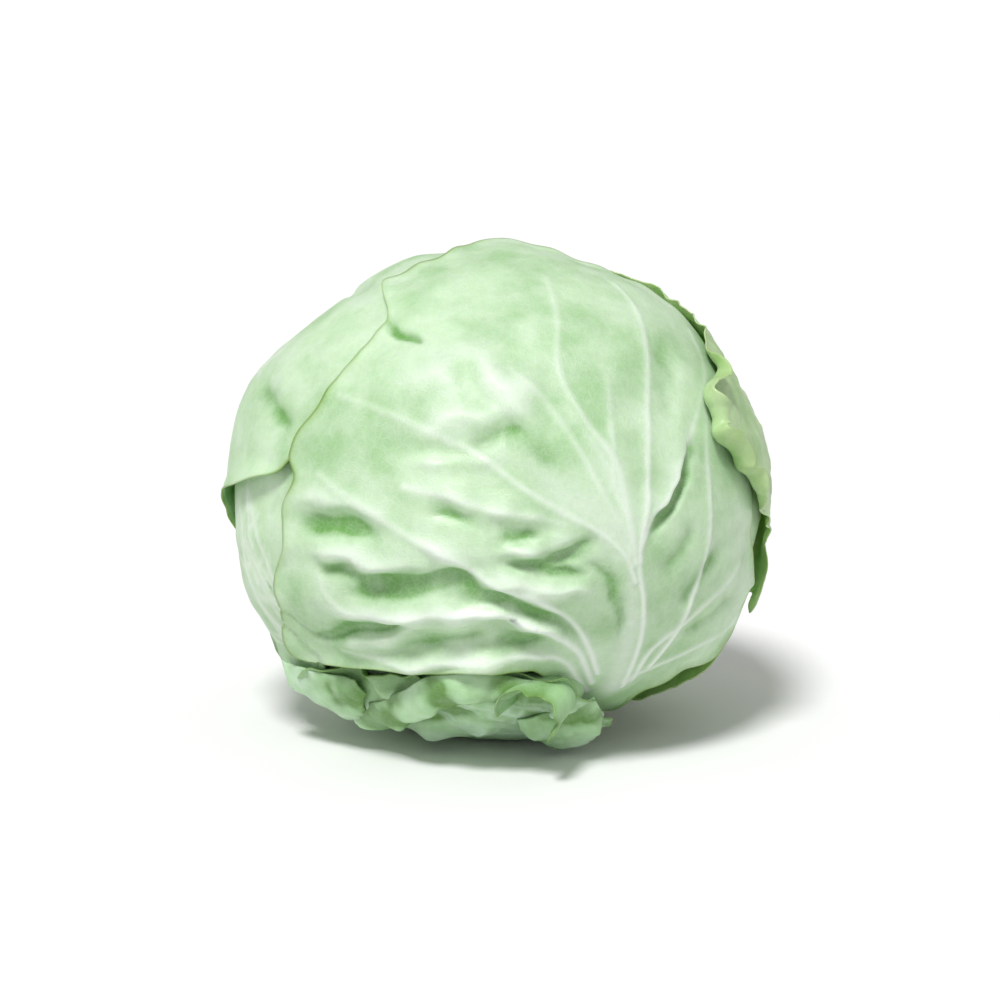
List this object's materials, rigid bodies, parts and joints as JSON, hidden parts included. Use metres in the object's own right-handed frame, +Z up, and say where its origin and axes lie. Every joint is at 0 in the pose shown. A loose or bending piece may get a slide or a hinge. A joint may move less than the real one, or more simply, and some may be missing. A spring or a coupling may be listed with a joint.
{
  "type": "cabbage",
  "caption": "Fresh cabbage head with loosely wrapped pale green leaves round a packed heart, lying on its side of the cut stalk.",
  "frame": {"origin": "the point of the flat resting spot under the middle of the head", "axes": "+Z up from the table; +Y away from the viewer, so -Y is the front with the broad front leaf; +X to the right, the side that the cut stalk points down to"},
  "size_m": [0.1969, 0.1898, 0.1764],
  "materials": {
    "packed_head": "waxy pale green leaf",
    "inner_leaf": "waxy pale green leaf",
    "wrapper_leaf": "waxy light green leaf with white veins",
    "outer_leaf": "waxy mid green leaf with white veins",
    "stalk": "moist cut stalk, pale green"
  },
  "bodies": {
    "root": {"packed_head": "packed_head", "stalk": "stalk", "inner_front_leaf": "inner_leaf", "back_leaf": "inner_leaf", "lower_right_leaf": "inner_leaf", "lower_left_leaf": "wrapper_leaf", "top_leaf": "wrapper_leaf", "front_leaf": "wrapper_leaf", "left_leaf": "outer_leaf", "right_leaf": "outer_leaf", "bottom_leaf": "outer_leaf"}
  },
  "joints": []
}
